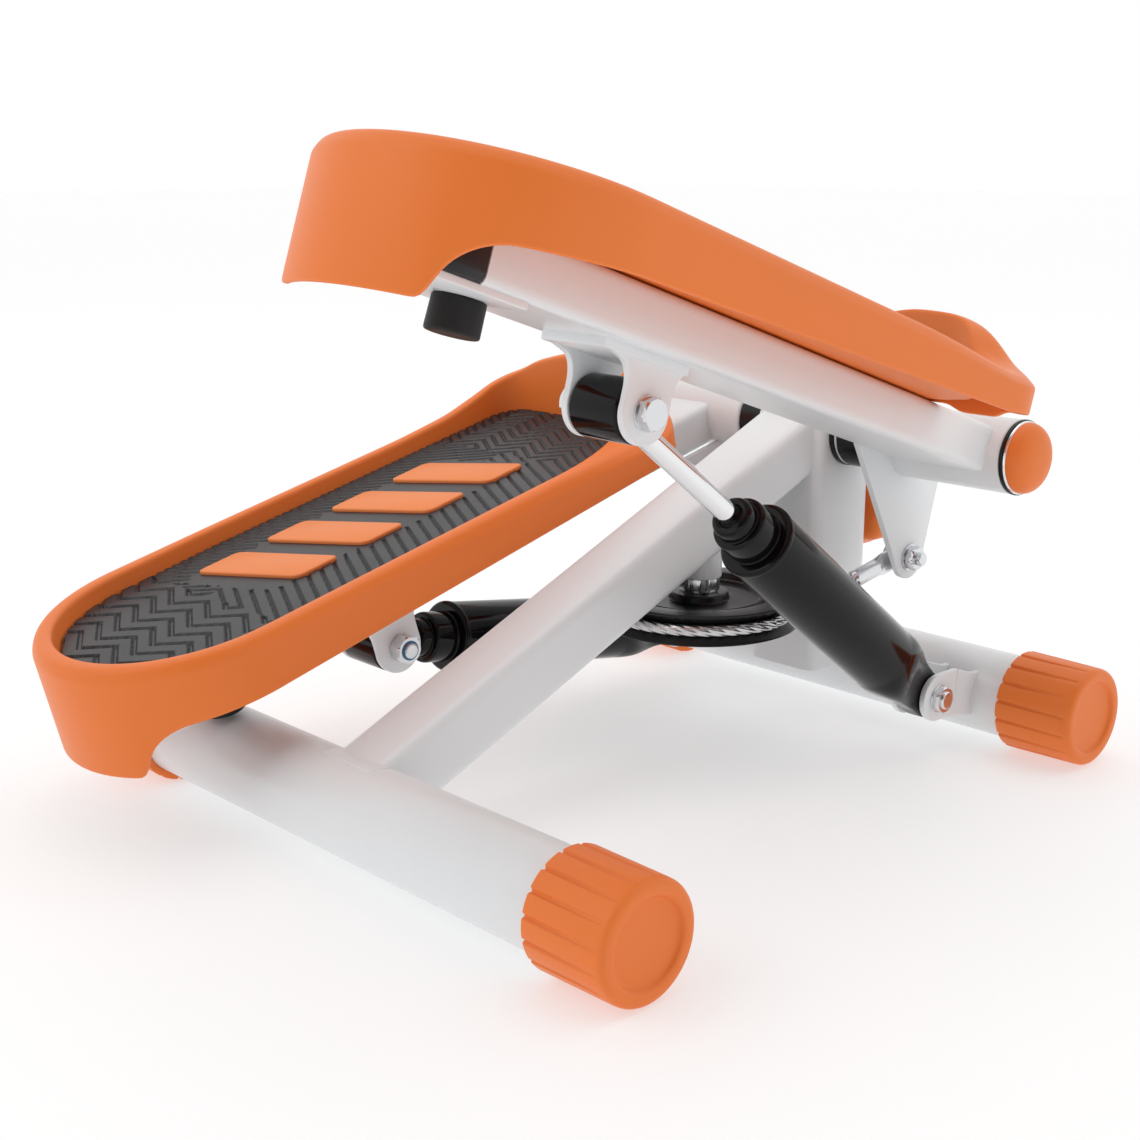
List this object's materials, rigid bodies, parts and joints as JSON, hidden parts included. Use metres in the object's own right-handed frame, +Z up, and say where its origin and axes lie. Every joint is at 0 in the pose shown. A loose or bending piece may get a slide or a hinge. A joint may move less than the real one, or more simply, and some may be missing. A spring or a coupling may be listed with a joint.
{
  "type": "stepper",
  "caption": "Mini stepper with two linked foot pedals on a tube frame, each braced by a hydraulic cylinder, with a cable running round a pulley.",
  "frame": {"origin": "centre of the bounding box at floor level, at rest with the right pedal up and the left one down", "axes": "+X to the user's right, +Y the way the user faces, +Z up"},
  "size_m": [0.312, 0.3956, 0.2693],
  "materials": {
    "white_paint": "gloss powder coat",
    "orange_plastic": "fine satin moulding",
    "mat_rubber": "matt moulded tread",
    "bumper_rubber": "matt",
    "black_plastic": "satin",
    "black_gloss": "high gloss",
    "chrome": "polished",
    "steel": "zinc plated",
    "cable_steel": "stranded wire rope"
  },
  "bodies": {
    "frame": {"rear_base_tube": "white_paint", "front_base_tube": "white_paint", "rear_foot_cap_right": "orange_plastic", "rear_foot_cap_left": "orange_plastic", "front_foot_cap_right": "orange_plastic", "front_foot_cap_left": "orange_plastic", "strut": "white_paint", "strut_saddle": "white_paint", "upright_post": "white_paint", "pivot_axle": "steel", "axle_spacer_right": "black_plastic", "axle_spacer_left": "black_plastic", "pulley_boss": "white_paint", "pulley_bolt": "steel", "pulley_nut": "steel", "cylinder_bracket_right": "white_paint", "cylinder_bracket_left": "white_paint", "cylinder_bolt_right": "steel", "cylinder_bolt_left": "steel", "cable_on_pulley": "cable_steel", "cable_run_right": "cable_steel", "cable_run_left": "cable_steel"},
    "right_pedal": {"pedal_arm_right": "white_paint", "pivot_sleeve_right": "white_paint", "pedal_shell_right": "orange_plastic", "tread_mat_right": "mat_rubber", "arm_end_plug_right": "black_plastic", "bumper_right": "bumper_rubber", "bumper_plate_right": "white_paint", "clevis_right": "white_paint", "clevis_bolt_right": "steel", "clevis_nut_right": "steel", "cable_bracket_right": "white_paint", "cable_bolt_right": "steel", "end_washer_right": "black_plastic", "axle_cap_right": "orange_plastic"},
    "right_cylinder": {"cylinder_body_right": "black_gloss", "cylinder_gland_right": "black_gloss"},
    "right_rod": {"piston_rod_right": "chrome", "rod_bush_right": "black_gloss"},
    "left_pedal": {"pedal_arm_left": "white_paint", "pivot_sleeve_left": "white_paint", "pedal_shell_left": "orange_plastic", "tread_mat_left": "mat_rubber", "arm_end_plug_left": "black_plastic", "bumper_left": "bumper_rubber", "bumper_plate_left": "white_paint", "clevis_left": "white_paint", "clevis_bolt_left": "steel", "clevis_nut_left": "steel", "cable_bracket_left": "white_paint", "cable_bolt_left": "steel", "end_washer_left": "black_plastic", "axle_cap_left": "orange_plastic"},
    "left_cylinder": {"cylinder_body_left": "black_gloss", "cylinder_gland_left": "black_gloss"},
    "left_rod": {"piston_rod_left": "chrome", "rod_bush_left": "black_gloss"},
    "pulley": {"pulley_wheel": "black_plastic"},
    "knob": {"adjusting_knob": "orange_plastic"}
  },
  "joints": [
    {"name": "right_pedal_swing", "type": "hinge", "parent": "frame", "child": "right_pedal", "pos_m": [0, 0.1481, 0.1375], "axis": [1, 0, 0], "range_deg": [0, 32.5], "deforming": ["cable_run_right"]},
    {"name": "left_pedal_swing", "type": "hinge", "parent": "frame", "child": "left_pedal", "pos_m": [0, 0.1481, 0.1375], "axis": [1, 0, 0], "range_deg": [-32.5, 0], "deforming": ["cable_run_left"]},
    {"name": "right_cylinder_swing", "type": "hinge", "parent": "frame", "child": "right_cylinder", "pos_m": [0.078, 0.1306, 0.029], "axis": [1, 0, 0], "range_deg": [0, 28.58]},
    {"name": "left_cylinder_swing", "type": "hinge", "parent": "frame", "child": "left_cylinder", "pos_m": [-0.078, 0.1306, 0.029], "axis": [1, 0, 0], "range_deg": [-28.58, 0]},
    {"name": "right_rod_slide", "type": "slide", "parent": "right_cylinder", "child": "right_rod", "axis": [0, -0.7966, 0.6045], "range_m": [-0.05979, 0]},
    {"name": "left_rod_slide", "type": "slide", "parent": "left_cylinder", "child": "left_rod", "axis": [0, -0.9887, 0.1497], "range_m": [0, 0.05979]},
    {"name": "pulley_spin", "type": "hinge", "parent": "frame", "child": "pulley", "pos_m": [0, 0.0686, 0.0659], "axis": [0, 0, 1], "range_deg": [0, 39.86]},
    {"name": "knob_turn", "type": "hinge", "parent": "frame", "child": "knob", "pos_m": [0, 0.1846, 0.1], "axis": [0, 1, 0], "continuous": true}
  ],
  "couplings": [
    {"joint": "left_pedal_swing", "follows": "right_pedal_swing", "ratio": -1},
    {"joint": "right_cylinder_swing", "follows": "right_pedal_swing", "ratio": 0.87951},
    {"joint": "left_cylinder_swing", "follows": "right_pedal_swing", "ratio": -0.87951},
    {"joint": "right_rod_slide", "follows": "right_pedal_swing", "m_per_rad": -0.1054},
    {"joint": "left_rod_slide", "follows": "right_pedal_swing", "m_per_rad": 0.1054},
    {"joint": "pulley_spin", "follows": "right_pedal_swing", "ratio": 1.2263}
  ]
}
